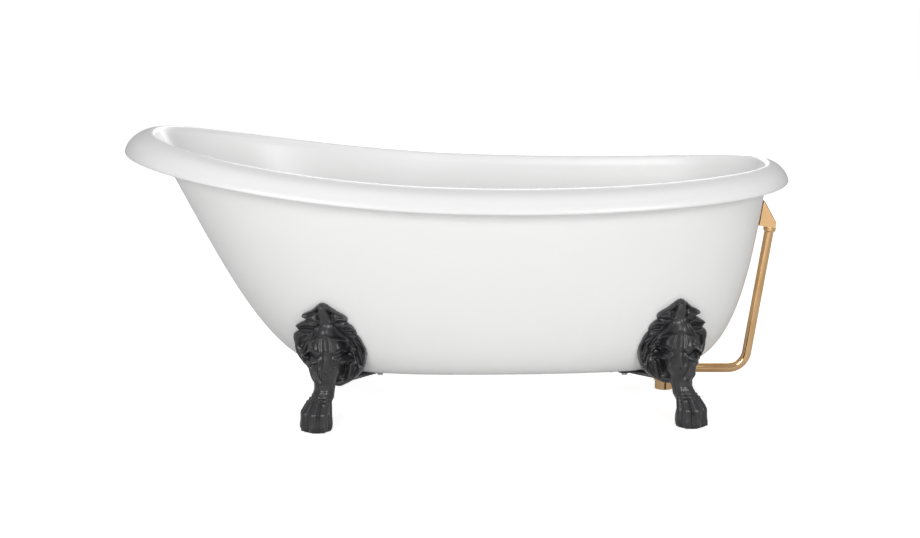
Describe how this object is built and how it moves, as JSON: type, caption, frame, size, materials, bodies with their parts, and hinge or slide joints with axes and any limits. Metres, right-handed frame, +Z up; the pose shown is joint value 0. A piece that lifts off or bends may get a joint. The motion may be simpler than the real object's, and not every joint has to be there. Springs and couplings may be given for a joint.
{
  "type": "clawfoot slipper bathtub",
  "caption": "Freestanding single-ended slipper bath with a rolled rim, a raised sloping head end, ornate claw feet and an exposed overflow pipe to a bottom waste.",
  "frame": {"origin": "on the floor, under the middle of the bath's length and width", "axes": "+X towards the foot end with the waste and overflow, +Z up, Y across the bath with -Y towards the viewer of the picture"},
  "size_m": [1.741, 0.7998, 0.744],
  "materials": {
    "acrylic_liner": "polished white sanitary acrylic",
    "acrylic_skin": "polished white sanitary acrylic",
    "plywood": "resin-sealed plywood, enclosed",
    "foot_iron": "satin anthracite lacquer over the casting",
    "zinc_steel": "zinc plated",
    "polished_brass": "polished, lacquered",
    "black_rubber": "matt",
    "cartridge_plastic": "moulded"
  },
  "bodies": {
    "bath": {"base_board": "plywood", "basin": "acrylic_liner", "board_inserts": "zinc_steel", "foot_bolts": "zinc_steel", "foot_front_left": "foot_iron", "foot_front_right": "foot_iron", "foot_rear_left": "foot_iron", "foot_rear_right": "foot_iron", "foot_washers": "zinc_steel", "hood_gasket": "black_rubber", "outer_skin": "acrylic_skin", "overflow_hood": "polished_brass", "overflow_pipe": "polished_brass", "overflow_rosette": "polished_brass", "overflow_screw": "polished_brass", "overflow_sleeve": "polished_brass", "pipe_nut_lower": "polished_brass", "pipe_nut_upper": "polished_brass", "plug_cartridge": "cartridge_plastic", "rosette_gasket": "black_rubber", "strainer_cross": "polished_brass", "under_seal": "black_rubber", "waste_flange": "polished_brass", "waste_seal": "black_rubber", "waste_shoe": "polished_brass"},
    "leveller_front_left": {"leveller_front_left": "zinc_steel"},
    "leveller_rear_left": {"leveller_rear_left": "zinc_steel"},
    "leveller_front_right": {"leveller_front_right": "zinc_steel"},
    "leveller_rear_right": {"leveller_rear_right": "zinc_steel"},
    "plug": {"plug_cap": "polished_brass", "plug_stem": "polished_brass", "plug_seal": "black_rubber"}
  },
  "joints": [
    {"name": "level_front_left", "type": "slide", "parent": "bath", "child": "leveller_front_left", "axis": [0, 0, 1], "range_m": [-0.015, 0]},
    {"name": "level_rear_left", "type": "slide", "parent": "bath", "child": "leveller_rear_left", "axis": [0, 0, 1], "range_m": [-0.015, 0]},
    {"name": "level_front_right", "type": "slide", "parent": "bath", "child": "leveller_front_right", "axis": [0, 0, 1], "range_m": [-0.015, 0]},
    {"name": "level_rear_right", "type": "slide", "parent": "bath", "child": "leveller_rear_right", "axis": [0, 0, 1], "range_m": [-0.015, 0]},
    {"name": "plug_lift", "type": "slide", "parent": "bath", "child": "plug", "axis": [0, 0, 1], "range_m": [-0.009, 0], "stiffness_N_per_m": 400, "springref_m": 0.01}
  ]
}
